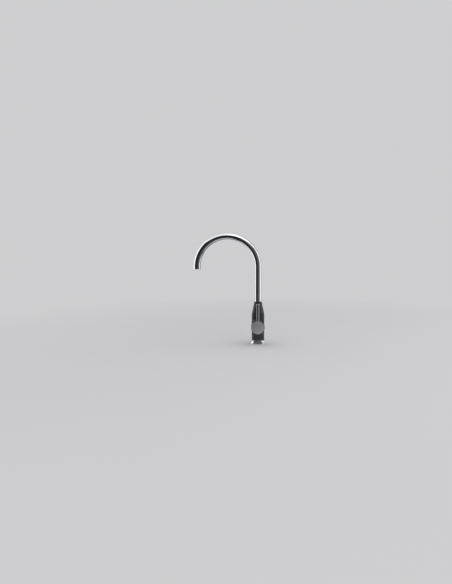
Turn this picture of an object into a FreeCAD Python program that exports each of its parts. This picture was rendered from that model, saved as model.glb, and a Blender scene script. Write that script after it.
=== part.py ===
import FreeCAD, Part
import math
import os

from FreeCAD import Vector

# Side-lever kitchen tap with a swivelling gooseneck spout, in millimetres.
# The origin is where the body's axis meets the worktop. +Z is up, the spout reaches
# towards -X, and the cartridge's barrel points towards -Y.
# Places along the barrel are distances out from the body's axis, and end in _out. Those
# that end in _reach start at the cartridge's seat instead.

# Clearances, each on one side
TURNING_GAP = 0.08
FIT_GAP = 0.1
SEAL_GAP = 0.05
END_GAP = 0.1

# Width of a broken edge
EDGE = 0.5

# How far a cutting shape runs past the surface that it opens
OVERCUT = 1.0

# Body
body_radius = 22.0
shoulder_height = 103.0
shoulder_blend = 90.0
neck_top = 145.5
neck_wall = 1.4
neck_depth = 44.5
body_foot = 1.5

# Base ring and its gasket
ring_height = 12.0
ring_wall = 1.8
ring_lip = 0.25
ring_spread = 2.5
ring_land = 1.2
ring_hollow = 0.45
gasket_width = 2.4
gasket_depth = 1.8
gasket_inset = 0.8

# Mounting shank, its nut and washers
shank_radius = 16.3
shank_bore = 14.0
shank_length = 60.0
spigot_radius = 17.0
spigot_length = 12.0
socket_radius = 16.6
washer_radius = 28.0
washer_bore = 17.4
rubber_washer_thickness = 3.0
steel_washer_thickness = 1.5
worktop_thickness = 38.0
nut_across_flats = 41.0
nut_height = 8.0
nut_chamfer = 2.0

# Hot and cold inlets
inlet_spacing = 14.0
inlet_thread_radius = 4.46
inlet_thread_depth = 11.0
inlet_bore = 2.8
block_height = 14.0
inlet_seal_width = 1.5
inlet_seal_height = 1.2

# Barrel and cartridge
barrel_height = 65.0
barrel_length = 40.0
barrel_cheek = 1.0
barrel_wall = 1.95
barrel_fillet = 3.0
seat_depth = 32.0
nut_step = 1.45
housing_wall = 2.1
base_thickness = 3.9
peg_radius = 1.5
peg_length = 2.4
peg_spacing = 24.0
peg_drop = 8.0
key_width = 3.0
key_depth = 1.5
key_height = 3.0
inlet_rise = 5.0
outlet_drop = 7.5
outlet_bore = 3.2
outlet_way_back = 4.5
port_seal_width = 1.6
port_seal_height = 1.2
disc_thickness = 4.0
recess_radius = 5.3
recess_length = 6.2
recess_depth = 1.5
carrier_thickness = 4.4
carrier_flat = 9.0
lug_width = 3.4
lug_length = 10.0
pivot_reach = 24.0
rotor_start_reach = 17.2
flange_end_reach = 22.0
rotor_shoulder = 3.4
collar_wall = 1.8
housing_shoulder_reach = 26.0
collar_end_reach = 31.5
rotor_neck_sink = 0.5
lug_floor_gap = 0.4
pivot_pin_radius = 1.5
pivot_pin_inset = 1.0

# Spindle
spindle_square = 7.0
spindle_slot_gap = 0.15
spindle_ball_radius = 2.8
spindle_neck_radius = 2.0
spindle_arm = 8.5
spindle_square_tail = 4.5
spindle_grip = 8.5
pocket_floor_gap = 0.3
lift_angle = 25.0

# Nut and bonnet over the cartridge
nut_shoulder = 2.95
nut_neck_length = 3.0
bonnet_wall = 1.6
bonnet_opening_margin = 2.5

# Hub and lever
hub_clearance = 0.5
dome_clearance = 1.0
hub_wall = 1.5
hub_skirt_gap = 2.0
hub_face_thickness = 12.5
hub_edge = 0.3
hub_rim = 0.7
face_disc_thickness = 0.8
lever_reach = 80.0
lever_foot_radius = 5.1
lever_top_radius = 5.7
lever_top_edge = 0.6
lever_stud_radius = 4.0
lever_stud_length = 12.0
lever_seat_depth = 1.0
grub_screw_radius = 2.5
grub_screw_length = 8.0
grub_screw_socket = 1.25
grub_socket_depth = 3.0
index_plug_radius = 3.0
index_plug_length = 2.5

# Spout
tube_radius = 11.0
tube_wall = 1.25
spring_height = 269.0
bend_radius = 107.0
flare_angle = 36.0
mouth_radius = 12.0
mouth_drop = 9.0
sleeve_wall = 0.47
glide_flange_radius = 12.6
glide_flange_thickness = 1.0
thrust_ring_thickness = 1.5
tail_length = 24.4
tail_spigot_length = 13.0
tail_bore = 8.0
seal_groove_depth = 1.4
seal_groove_width = 2.6
seal_heights = (9.0, 18.0)
catch_groove_depth = 1.6
catch_groove_width = 3.4
catch_height = 5.0
catch_pin_radius = 1.5
catch_pin_reach = 1.2
catch_screw_recess = 1.2

# Aerator
aerator_length = 8.5
aerator_recess = 0.4
aerator_wall = 1.2
aerator_lip = 1.0
insert_thickness = 5.0
insert_hole_radius = 0.8
insert_hole_pitch = 3.2
insert_hole_rings = 2
aerator_seal_height = 1.6

# Sizes that follow from those above
neck_floor = neck_top - neck_depth
neck_bore = tube_radius + TURNING_GAP + sleeve_wall + SEAL_GAP
neck_radius = neck_bore + neck_wall
ring_bore = body_radius - ring_wall
foot_radius = ring_bore - FIT_GAP
ring_foot_radius = body_radius + ring_lip + ring_spread
shank_thread = socket_radius - FIT_GAP
block_radius = socket_radius - 2 * FIT_GAP
block_top = ring_height + block_height
inlet_x = inlet_spacing / 2
nut_bore = shank_radius + FIT_GAP
tube_bore = tube_radius - tube_wall
tail_foot = neck_floor + thrust_ring_thickness + END_GAP
tube_foot = tail_foot + tail_length
barrel_radius = body_radius - barrel_cheek
counterbore_radius = barrel_radius - barrel_wall
nut_radius = counterbore_radius - FIT_GAP
nut_neck_radius = nut_radius - nut_shoulder
cartridge_radius = nut_radius - nut_step
cavity_radius = cartridge_radius + FIT_GAP
seat_out = barrel_length - seat_depth
pivot_out = seat_out + pivot_reach
rotor_start_out = seat_out + rotor_start_reach
flange_end_out = seat_out + flange_end_reach
housing_shoulder_out = seat_out + housing_shoulder_reach
collar_end_out = seat_out + collar_end_reach
nut_neck_end_out = barrel_length + nut_neck_length
base_start_out = seat_out + END_GAP
fixed_disc_out = base_start_out + base_thickness
moving_disc_out = fixed_disc_out + disc_thickness
carrier_out = moving_disc_out + disc_thickness
ball_out = pivot_out - spindle_arm
disc_travel = spindle_arm * math.sin(math.radians(lift_angle))
disc_rest = -disc_travel / 2
housing_bore = cartridge_radius - housing_wall
disc_radius = housing_bore - 2 * FIT_GAP
moving_disc_radius = disc_radius - disc_travel / 2
rotor_neck_radius = housing_bore - rotor_shoulder
pivot_pin_length = 2 * (rotor_neck_radius - pivot_pin_inset)
collar_bore = rotor_neck_radius + 2 * FIT_GAP
collar_radius = collar_bore + collar_wall
dome_radius = math.hypot(barrel_radius, barrel_length - pivot_out)
hub_bore = barrel_radius + hub_clearance
hub_radius = hub_bore + hub_wall
hub_back_out = pivot_out + dome_radius + dome_clearance
hub_front_out = hub_back_out + hub_face_thickness
hub_skirt_out = barrel_length + hub_skirt_gap
face_disc_out = hub_front_out - face_disc_thickness
face_recess_radius = hub_radius - hub_rim
lever_out = hub_back_out + hub_face_thickness / 2
lever_foot = barrel_height + hub_radius - lever_seat_depth
lever_top = barrel_height + lever_reach
mouth_x = -2 * bend_radius
mouth_height = spring_height - mouth_drop
mouth_bore = mouth_radius - tube_wall
housing_top = mouth_height + aerator_recess + aerator_length

ORIGIN = Vector(0, 0, 0)
UP = Vector(0, 0, 1)
SIDE = Vector(1, 0, 0)
OUT = Vector(0, -1, 0)


def section(*corners):
    """Flat face in the XZ plane. A corner is (radius, height), or four numbers for the
    middle and the end of an arc."""
    here = Vector(corners[0][0], 0, corners[0][1])
    edges = []
    for corner in corners[1:] + corners[:1]:
        there = Vector(corner[-2], 0, corner[-1])
        if len(corner) == 4:
            middle = Vector(corner[0], 0, corner[1])
            edges.append(Part.Arc(here, middle, there).toShape())
        else:
            edges.append(Part.makeLine(here, there))
        here = there
    return Part.Face(Part.Wire(edges))


def turned(*corners):
    """Solid of revolution about the Z axis."""
    return section(*corners).revolve(ORIGIN, UP, 360)


def tube(bore, radius, bottom, top, edge=0.0):
    """Ring or sleeve with its four edges broken by edge."""
    if edge == 0.0:
        return turned((bore, bottom), (radius, bottom), (radius, top), (bore, top))
    return turned(
        (bore + edge, bottom),
        (radius - edge, bottom),
        (radius, bottom + edge),
        (radius, top - edge),
        (radius - edge, top),
        (bore + edge, top),
        (bore, top - edge),
        (bore, bottom + edge),
    )


def rod(radius, bottom, top, x=0.0, y=0.0):
    """Upright cylinder."""
    return Part.makeCylinder(radius, top - bottom, Vector(x, y, bottom))


def bar(width, depth, bottom, top):
    """Upright box centred on the Z axis."""
    corner = Vector(-width / 2, -depth / 2, bottom)
    return Part.makeBox(width, depth, top - bottom, corner)


def drilling(start, end, radius):
    """Cylinder from one point to another."""
    way = end - start
    return Part.makeCylinder(radius, way.Length, start, way)


def on_barrel(shape):
    """Lay an upright shape along the barrel: its +Z goes out and its +Y goes up."""
    laid = shape.copy()
    laid.rotate(ORIGIN, SIDE, 90)
    laid.translate(Vector(0, 0, barrel_height))
    return laid


def barrel_point(x, rise, out):
    """Point beside the barrel's axis, in the tap's frame."""
    return Vector(x, -out, barrel_height + rise)


def cone_lean():
    """Angle between the body's cone and its axis."""
    return math.atan2(body_radius - neck_radius, neck_top - shoulder_height)


def body_outline():
    """Half section of the body's outside, with its foot inside the base ring."""
    lean = cone_lean()
    reach = shoulder_blend * math.tan(lean / 2)
    blend_start = shoulder_height - reach
    sagitta = shoulder_blend * (1 - math.cos(lean / 2))
    return (
        (0, body_foot),
        (foot_radius - EDGE, body_foot),
        (foot_radius, body_foot + EDGE),
        (foot_radius, ring_height),
        (body_radius, ring_height),
        (body_radius, blend_start),
        (
            body_radius - sagitta,
            blend_start + shoulder_blend * math.sin(lean / 2),
            body_radius - reach * math.sin(lean),
            shoulder_height + reach * math.cos(lean),
        ),
        (neck_radius, neck_top),
        (0, neck_top),
    )


def barrel():
    """Outside of the barrel for the cartridge."""
    return on_barrel(rod(barrel_radius, 0, barrel_length))


def meeting_edges(shape):
    """Edges where the barrel runs into the body: neither straight nor round."""
    plain = ("Part::GeomLine", "Part::GeomCircle")
    return [edge for edge in shape.Edges if edge.Curve.TypeId not in plain]


def waterways():
    """Two inlet ways up to the cartridge's seat, and the outlet way up to the spout."""
    runs = [(x, inlet_rise, 0, inlet_bore, block_top - OVERCUT) for x in (-inlet_x, inlet_x)]
    runs.append((0, -outlet_drop, -outlet_way_back, outlet_bore, neck_floor + OVERCUT))
    ways = []
    for x, rise, out, bore, end_height in runs:
        corner = barrel_point(x, rise, out)
        ways.append(drilling(corner, barrel_point(x, rise, seat_out + OVERCUT), bore))
        ways.append(drilling(corner, Vector(corner.x, corner.y, end_height), bore))
        ways.append(Part.makeSphere(bore, corner))
    return ways


def seat_pegs(clearance):
    """Two pegs on the cartridge's end, or the holes that they sit in, grown by a clearance."""
    start = seat_out - peg_length - clearance
    return [
        rod(peg_radius + clearance, start, fixed_disc_out, side * peg_spacing / 2, -peg_drop)
        for side in (-1, 1)
    ]


def disc_keys(clearance, end):
    """Two keys at the fixed disc's rim, or the notches that they sit in."""
    keys = []
    for side in (-1, 1):
        width = key_depth + 2 * clearance
        key = bar(width, key_width + 2 * clearance, fixed_disc_out, end)
        key.translate(Vector(side * (disc_radius - key_depth / 2), 0, 0))
        keys.append(key)
    return keys


def catch_point(radius):
    """Point on the axis of the screw that keeps the spout in, at the body's side."""
    return Vector(radius, 0, tail_foot + catch_height)


def catch_hole():
    """Threaded hole for the screw that keeps the spout in."""
    start = catch_point(neck_bore - OVERCUT)
    return drilling(start, catch_point(body_radius + OVERCUT), grub_screw_radius + SEAL_GAP)


def tap_body():
    outside = turned(*body_outline()).fuse(barrel()).removeSplitter()
    outside = outside.makeFillet(barrel_fillet, meeting_edges(outside))
    cavity = on_barrel(rod(cavity_radius, seat_out, barrel_length))
    counterbore = on_barrel(rod(counterbore_radius, housing_shoulder_out, barrel_length))
    socket = rod(socket_radius, body_foot, block_top)
    neck = rod(neck_bore, neck_floor, neck_top)
    pegs = [on_barrel(peg) for peg in seat_pegs(FIT_GAP)]
    tools = [cavity, counterbore, socket, neck, catch_hole()] + pegs + waterways()
    return outside.cut(tools).removeSplitter()


def base_ring():
    """Bright ring whose side sweeps out to its foot, with a groove for the gasket."""
    top_radius = body_radius + ring_lip
    middle_radius = (top_radius + ring_foot_radius) / 2 - ring_hollow
    middle_height = (ring_height + ring_land) / 2
    groove_start = ring_bore + gasket_inset
    groove_end = groove_start + gasket_width
    return turned(
        (ring_bore, 0),
        (groove_start, 0),
        (groove_start, gasket_depth),
        (groove_end, gasket_depth),
        (groove_end, 0),
        (ring_foot_radius - EDGE / 2, 0),
        (ring_foot_radius, EDGE / 2),
        (ring_foot_radius, ring_land),
        (middle_radius, middle_height, top_radius, ring_height - EDGE / 2),
        (top_radius - EDGE / 2, ring_height),
        (ring_bore, ring_height),
    )


def deck_gasket():
    start = ring_bore + gasket_inset
    return tube(start, start + gasket_width, 0, gasket_depth)


def mounting_shank():
    """Hollow shank: a thread up into the body, a plain spigot in the worktop's hole and
    a long thread for the nut."""
    return turned(
        (shank_bore, -shank_length),
        (shank_radius - EDGE, -shank_length),
        (shank_radius, -shank_length + EDGE),
        (shank_radius, -spigot_length),
        (spigot_radius, -spigot_length),
        (spigot_radius, body_foot),
        (shank_thread, body_foot),
        (shank_thread, ring_height),
        (shank_bore, ring_height),
    )


def inlet_block():
    """Brass block with the two hose threads below and a seal groove round each way above."""
    block = tube(0, block_radius, ring_height, block_top)
    tools = []
    for x in (-inlet_x, inlet_x):
        tools.append(rod(inlet_bore, ring_height, block_top, x))
        tools.append(rod(inlet_thread_radius, ring_height, ring_height + inlet_thread_depth, x))
        seat = inlet_bore + SEAL_GAP + inlet_seal_width
        tools.append(rod(seat, block_top - inlet_seal_height, block_top, x))
    return block.cut(tools)


def inlet_seals():
    seals = []
    for x in (-inlet_x, inlet_x):
        bore = inlet_bore + SEAL_GAP
        seal = tube(bore, bore + inlet_seal_width, block_top - inlet_seal_height, block_top)
        seal.translate(Vector(x, 0, 0))
        seals.append(seal)
    return Part.makeCompound(seals)


def deck_washer():
    top = -worktop_thickness
    return tube(washer_bore, washer_radius, top - rubber_washer_thickness, top, EDGE)


def clamp_washer():
    top = -worktop_thickness - rubber_washer_thickness
    return tube(washer_bore, washer_radius, top - steel_washer_thickness, top)


def backnut():
    """Hexagon nut, its corners turned off at the free end."""
    top = -worktop_thickness - rubber_washer_thickness - steel_washer_thickness
    bottom = top - nut_height
    corner_radius = nut_across_flats / 2 / math.cos(math.pi / 6)
    corners = [
        Vector(corner_radius * math.cos(turn), corner_radius * math.sin(turn), bottom)
        for turn in (math.pi / 3 * step for step in range(7))
    ]
    prism = Part.Face(Part.makePolygon(corners)).extrude(Vector(0, 0, nut_height))
    crown = turned(
        (nut_bore, bottom),
        (corner_radius - nut_chamfer, bottom),
        (corner_radius, bottom + nut_chamfer * math.tan(math.pi / 6)),
        (corner_radius, top),
        (nut_bore, top),
    )
    return prism.common(crown)


def gooseneck(radius, end_radius):
    """Solid along the spout's centreline, from the tail to the mouth. The last stretch of
    the bend widens from radius to end_radius."""
    rise = rod(radius, tube_foot, spring_height)
    centre = Vector(-bend_radius, 0, spring_height)
    disc = Part.Face(Part.Wire(Part.makeCircle(radius, Vector(0, 0, spring_height), UP)))
    plain_angle = 180 - flare_angle
    bend = disc.revolve(centre, OUT, plain_angle)
    mouth_centre = Vector(mouth_x, 0, spring_height)
    turn = math.radians(plain_angle)
    half_turn = math.radians(180 - flare_angle / 2)
    start = centre + Vector(math.cos(turn), 0, math.sin(turn)) * bend_radius
    middle = centre + Vector(math.cos(half_turn), 0, math.sin(half_turn)) * bend_radius
    spine = Part.Wire(Part.Arc(start, middle, mouth_centre).toShape())
    heading = Vector(-math.sin(turn), 0, math.cos(turn))
    flare = Part.BRepOffsetAPI.MakePipeShell(spine)
    flare.setFrenetMode(True)
    flare.add(Part.Wire(Part.makeCircle(radius, start, heading)))
    flare.add(Part.Wire(Part.makeCircle(end_radius, mouth_centre, UP * -1)))
    flare.build()
    flare.makeSolid()
    drop = rod(end_radius, mouth_height, spring_height, mouth_x)
    return rise.fuse([bend, Part.Solid(flare.shape()), drop]).removeSplitter()


def spout_tube():
    return gooseneck(tube_radius, mouth_radius).cut(gooseneck(tube_bore, mouth_bore))


def spout_tail():
    """Brass end of the spout, with grooves for the catch screw and the two seals and a
    spigot that is soldered into the tube."""
    seal_floor = tube_radius - seal_groove_depth
    catch_floor = tube_radius - catch_groove_depth
    body = tube(tail_bore, tube_radius, tail_foot, tube_foot, EDGE)
    spigot = tube(tail_bore, tube_bore, tube_foot - EDGE, tube_foot + tail_spigot_length)
    grooves = []
    for height in seal_heights:
        low = tail_foot + height - seal_groove_width / 2
        grooves.append(tube(seal_floor, tube_radius + OVERCUT, low, low + seal_groove_width))
    low = tail_foot + catch_height - catch_groove_width / 2
    grooves.append(tube(catch_floor, tube_radius + OVERCUT, low, low + catch_groove_width))
    return body.fuse(spigot).removeSplitter().cut(grooves)


def spout_o_rings():
    bore = tube_radius - seal_groove_depth + SEAL_GAP
    rings = []
    for height in seal_heights:
        low = tail_foot + height - seal_groove_width / 2 + SEAL_GAP
        top = low + seal_groove_width - 2 * SEAL_GAP
        rings.append(tube(bore, neck_bore - SEAL_GAP, low, top, EDGE))
    return Part.makeCompound(rings)


def spout_thrust_ring():
    bottom = neck_floor
    return tube(tail_bore, neck_bore - FIT_GAP, bottom, bottom + thrust_ring_thickness)


def neck_glide_ring():
    """Plastic sleeve that the tube turns in, with a flange on top of the neck."""
    bore = tube_radius + TURNING_GAP
    top = neck_top + glide_flange_thickness
    return turned(
        (bore, tube_foot + END_GAP),
        (bore + sleeve_wall, tube_foot + END_GAP),
        (bore + sleeve_wall, neck_top),
        (glide_flange_radius, neck_top),
        (glide_flange_radius, top - EDGE / 2),
        (glide_flange_radius - EDGE / 2, top),
        (bore, top),
    )


def spout_grub_screw():
    """Screw whose plain tip runs in the tail's catch groove."""
    cone_radius = neck_radius + (neck_top - tail_foot - catch_height) * math.tan(cone_lean())
    end = cone_radius - catch_screw_recess
    shoulder = neck_bore + EDGE
    pin = drilling(catch_point(tube_radius - catch_pin_reach), catch_point(shoulder), catch_pin_radius)
    thread = drilling(catch_point(shoulder), catch_point(end), grub_screw_radius)
    socket = drilling(catch_point(end - grub_socket_depth), catch_point(end), grub_screw_socket)
    return pin.fuse(thread).cut(socket)


def aerator_housing():
    """Cup that screws into the mouth, with a lip that holds the insert."""
    radius = mouth_bore - SEAL_GAP
    bottom = mouth_height + aerator_recess
    bore = radius - aerator_wall
    cup = turned(
        (bore - aerator_lip, bottom),
        (radius - EDGE / 2, bottom),
        (radius, bottom + EDGE / 2),
        (radius, housing_top),
        (bore, housing_top),
        (bore, bottom + aerator_lip),
        (bore - aerator_lip, bottom + aerator_lip),
    )
    cup.translate(Vector(mouth_x, 0, 0))
    return cup


def insert_hole_places():
    """Places of the insert's holes: one in the middle and rings of six, twelve and so on."""
    places = [(0.0, 0.0)]
    for ring in range(1, insert_hole_rings + 1):
        count = 6 * ring
        for step in range(count):
            turn = 2 * math.pi * step / count
            radius = ring * insert_hole_pitch
            places.append((radius * math.cos(turn), radius * math.sin(turn)))
    return places


def aerator_insert():
    """Perforated disc that breaks up the stream."""
    radius = mouth_bore - SEAL_GAP - aerator_wall - SEAL_GAP
    bottom = mouth_height + aerator_recess + aerator_lip
    top = bottom + insert_thickness
    holes = [rod(insert_hole_radius, bottom, top, x, y) for x, y in insert_hole_places()]
    insert = rod(radius, bottom, top).cut(holes)
    insert.translate(Vector(mouth_x, 0, 0))
    return insert


def aerator_seal():
    """Flat seal between the aerator and the end of the tube's thread."""
    radius = mouth_bore - SEAL_GAP
    seal = tube(radius - 2 * aerator_wall, radius, housing_top, housing_top + aerator_seal_height)
    seal.translate(Vector(mouth_x, 0, 0))
    return seal


def port_places():
    """Cold, hot and mixed-water ports in the cartridge's end, with their bores."""
    return (
        (-inlet_x, inlet_rise, inlet_bore),
        (inlet_x, inlet_rise, inlet_bore),
        (0.0, -outlet_drop, outlet_bore),
    )


def cartridge_base():
    """End plate of the cartridge with its three ports, each in a seat for its seal. Two pegs
    stop it from turning in the body, and two keys stop the fixed disc."""
    plate = rod(cartridge_radius, base_start_out, fixed_disc_out)
    plate = plate.fuse(seat_pegs(0.0) + disc_keys(0.0, fixed_disc_out + key_height))
    tools = []
    for x, y, bore in port_places():
        tools.append(rod(bore, base_start_out, fixed_disc_out, x, y))
        seat = bore + SEAL_GAP + port_seal_width
        tools.append(rod(seat, base_start_out, base_start_out + port_seal_height, x, y))
    return on_barrel(plate.cut(tools).removeSplitter())


def port_seals():
    seals = []
    for x, y, bore in port_places():
        start = bore + SEAL_GAP
        seal = tube(start, start + port_seal_width, seat_out, base_start_out + port_seal_height)
        seal.translate(Vector(x, y, 0))
        seals.append(on_barrel(seal))
    return Part.makeCompound(seals)


def fixed_disc():
    """Ceramic disc that stands still, with the three ports through it and a notch for each
    of the base's keys."""
    disc = rod(disc_radius, fixed_disc_out, moving_disc_out)
    holes = [rod(bore, fixed_disc_out, moving_disc_out, x, y) for x, y, bore in port_places()]
    return on_barrel(disc.cut(holes + disc_keys(FIT_GAP, moving_disc_out)))


def moving_disc():
    """Ceramic disc that slides over the fixed one. Its long recess meets the outlet alone
    while the lever is down, however far it is turned, and runs on to one inlet or to both
    as the lever is pulled."""
    disc = rod(moving_disc_radius, moving_disc_out, carrier_out, 0, disc_rest)
    recess_end = moving_disc_out + recess_depth
    middle = bar(2 * recess_radius, recess_length, moving_disc_out, recess_end)
    middle.translate(Vector(0, -recess_length / 2, 0))
    ends = [rod(recess_radius, moving_disc_out, recess_end, 0, y) for y in (0, -recess_length)]
    return on_barrel(disc.cut([middle] + ends).removeSplitter())


def disc_carrier():
    """Plastic carrier on the moving disc, with a pocket for the spindle's ball and two
    flats that the rotor's lugs hold."""
    end = carrier_out + carrier_thickness
    carrier = rod(moving_disc_radius, carrier_out, end, 0, disc_rest)
    flats = bar(2 * carrier_flat, 2 * cartridge_radius, carrier_out, end)
    pocket_floor = ball_out - spindle_ball_radius - pocket_floor_gap
    pocket = rod(spindle_ball_radius + spindle_slot_gap, pocket_floor, end)
    return on_barrel(carrier.common(flats).cut(pocket))


def cartridge_housing():
    """Plastic shell round the discs and the rotor, with a collar for the rotor's neck."""
    shoulder_inside = flange_end_out + END_GAP
    return on_barrel(
        turned(
            (housing_bore, fixed_disc_out),
            (cartridge_radius, fixed_disc_out),
            (cartridge_radius, housing_shoulder_out),
            (collar_radius, housing_shoulder_out),
            (collar_radius, collar_end_out),
            (collar_bore, collar_end_out),
            (collar_bore, shoulder_inside),
            (housing_bore, shoulder_inside),
        )
    )


def cartridge_rotor():
    """Turning head of the cartridge: a flange with two lugs beside the carrier, and a neck
    with the slot that the spindle tilts in."""
    neck_end = collar_end_out - rotor_neck_sink
    lift = math.radians(lift_angle)
    head = turned(
        (0, rotor_start_out),
        (housing_bore - 2 * FIT_GAP, rotor_start_out),
        (housing_bore - 2 * FIT_GAP, flange_end_out),
        (rotor_neck_radius, flange_end_out),
        (rotor_neck_radius, neck_end),
        (0, neck_end),
    )
    for side in (-1, 1):
        lug = bar(lug_width, lug_length, carrier_out + lug_floor_gap, rotor_start_out)
        lug.translate(Vector(side * (carrier_flat + FIT_GAP + lug_width / 2), 0, 0))
        head = head.fuse(lug)
    width = spindle_square + 2 * spindle_slot_gap
    reach = (neck_end - pivot_out) * math.tan(lift)
    height = 2 * (reach + spindle_square / 2 / math.cos(lift) + spindle_slot_gap)
    slot = bar(width, height, rotor_start_out, neck_end)
    pin_hole = drilling(
        Vector(-pivot_pin_length / 2, 0, pivot_out),
        Vector(pivot_pin_length / 2, 0, pivot_out),
        pivot_pin_radius,
    )
    return on_barrel(head.removeSplitter().cut([slot, pin_hole]))


def pivot_pin():
    start = barrel_point(-pivot_pin_length / 2, 0, pivot_out)
    return drilling(start, barrel_point(pivot_pin_length / 2, 0, pivot_out), pivot_pin_radius)


def spindle():
    """Square bar with a cross hole for the pivot pin and a ball end in the disc carrier."""
    square_start = pivot_out - spindle_square_tail
    square = bar(spindle_square, spindle_square, square_start, hub_back_out + spindle_grip)
    neck = rod(spindle_neck_radius, ball_out, square_start)
    ball = Part.makeSphere(spindle_ball_radius, Vector(0, 0, ball_out))
    cross = drilling(
        Vector(-spindle_square, 0, pivot_out),
        Vector(spindle_square, 0, pivot_out),
        pivot_pin_radius + SEAL_GAP,
    )
    return on_barrel(square.fuse([neck, ball]).removeSplitter().cut(cross))


def cartridge_nut():
    """Brass ring nut that presses on the housing's shoulder, with a neck for the bonnet."""
    bore = collar_radius + 2 * FIT_GAP
    return on_barrel(
        turned(
            (bore, housing_shoulder_out),
            (nut_radius, housing_shoulder_out),
            (nut_radius, barrel_length),
            (nut_neck_radius, barrel_length),
            (nut_neck_radius, nut_neck_end_out),
            (bore, nut_neck_end_out),
        )
    )


def bonnet():
    """Domed cover, round about the pivot so that the hub clears it at every tilt."""
    inner_radius = dome_radius - bonnet_wall
    half_corner = math.asin(spindle_square / math.sqrt(2) / dome_radius)
    opening_angle = half_corner + math.radians(lift_angle + bonnet_opening_margin)
    start = barrel_length + END_GAP
    start_angle = math.acos((start - pivot_out) / dome_radius)
    middle_angle = (opening_angle + start_angle) / 2
    thread_radius = nut_neck_radius + FIT_GAP
    inner_start = pivot_out + math.sqrt(inner_radius**2 - thread_radius**2)
    inner_angle = math.acos((inner_start - pivot_out) / inner_radius)
    inner_middle = (opening_angle + inner_angle) / 2

    def on_dome(radius, angle):
        return radius * math.sin(angle), pivot_out + radius * math.cos(angle)

    return on_barrel(
        turned(
            (thread_radius, start),
            on_dome(dome_radius, start_angle),
            on_dome(dome_radius, middle_angle) + on_dome(dome_radius, opening_angle),
            on_dome(inner_radius, opening_angle),
            on_dome(inner_radius, inner_middle) + (thread_radius, inner_start),
        )
    )


def handle_hub():
    """Round hub on the spindle's square, with a skirt over the bonnet, a recess for the face
    disc, the lever's seat on top and the clamping screw's hole below."""
    hub = turned(
        (0, hub_back_out),
        (hub_bore, hub_back_out),
        (hub_bore, hub_skirt_out),
        (hub_radius, hub_skirt_out),
        (hub_radius, hub_front_out - hub_edge),
        (hub_radius - hub_edge, hub_front_out),
        (0, hub_front_out),
    )
    socket_side = spindle_square + FIT_GAP
    socket = bar(socket_side, socket_side, hub_back_out, hub_back_out + spindle_grip + 2 * END_GAP)
    recess = rod(face_recess_radius, face_disc_out, hub_front_out)
    hub = on_barrel(hub.cut([socket, recess]))
    axis_foot = Vector(0, -lever_out, lever_foot)
    stud_end = axis_foot - UP * (lever_stud_length + EDGE)
    seat = drilling(axis_foot, axis_foot + UP * hub_radius, lever_foot_radius + FIT_GAP)
    stud_hole = drilling(stud_end, axis_foot, lever_stud_radius + SEAL_GAP)
    rim = Vector(0, -lever_out, barrel_height - hub_radius)
    hub_axis = Vector(0, -lever_out, barrel_height)
    plug_end = rim + UP * (index_plug_length + EDGE)
    screw_hole = drilling(rim, hub_axis, grub_screw_radius + SEAL_GAP)
    plug_hole = drilling(rim, plug_end, index_plug_radius + SEAL_GAP)
    return hub.cut([seat, stud_hole, screw_hole, plug_hole])


def face_disc():
    """Thin disc let into the hub's front."""
    radius = face_recess_radius - FIT_GAP
    return on_barrel(
        turned(
            (0, face_disc_out),
            (radius, face_disc_out),
            (radius, hub_front_out - hub_edge),
            (radius - hub_edge, hub_front_out),
            (0, hub_front_out),
        )
    )


def lever():
    """Tapered rod with a flat end, and a threaded stud into the hub."""
    shape = turned(
        (0, lever_foot - lever_stud_length),
        (lever_stud_radius - EDGE, lever_foot - lever_stud_length),
        (lever_stud_radius, lever_foot - lever_stud_length + EDGE),
        (lever_stud_radius, lever_foot),
        (lever_foot_radius, lever_foot),
        (lever_top_radius, lever_top - lever_top_edge),
        (lever_top_radius - lever_top_edge, lever_top),
        (0, lever_top),
    )
    shape.translate(OUT * lever_out)
    return shape


def hub_grub_screw():
    """Socket screw that clamps the hub on the spindle's flat."""
    tip = barrel_height - spindle_square / 2
    end = tip - grub_screw_length
    screw = rod(grub_screw_radius, end, tip, 0, -lever_out)
    return screw.cut(rod(grub_screw_socket, end, end + grub_socket_depth, 0, -lever_out))


def index_plug():
    """Small plug over the clamping screw's hole, flush with the hub's rim."""
    bottom = barrel_height - hub_radius
    plug = rod(index_plug_radius, bottom, bottom + index_plug_length, 0, -lever_out)
    return plug.common(on_barrel(rod(hub_radius, hub_back_out, hub_front_out)))


PIECES = (
    tap_body,
    base_ring,
    deck_gasket,
    mounting_shank,
    inlet_block,
    inlet_seals,
    deck_washer,
    clamp_washer,
    backnut,
    spout_tube,
    spout_tail,
    spout_o_rings,
    spout_thrust_ring,
    spout_grub_screw,
    neck_glide_ring,
    aerator_housing,
    aerator_insert,
    aerator_seal,
    cartridge_base,
    port_seals,
    fixed_disc,
    moving_disc,
    disc_carrier,
    cartridge_housing,
    cartridge_rotor,
    pivot_pin,
    spindle,
    cartridge_nut,
    bonnet,
    handle_hub,
    face_disc,
    lever,
    hub_grub_screw,
    index_plug,
)


def main():
    os.makedirs("parts", exist_ok=True)
    for piece in PIECES:
        piece().exportStep(f"parts/{piece.__name__}.step")


main()
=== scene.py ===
import math

import bmesh
import bpy
from mathutils import Matrix, Vector


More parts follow.
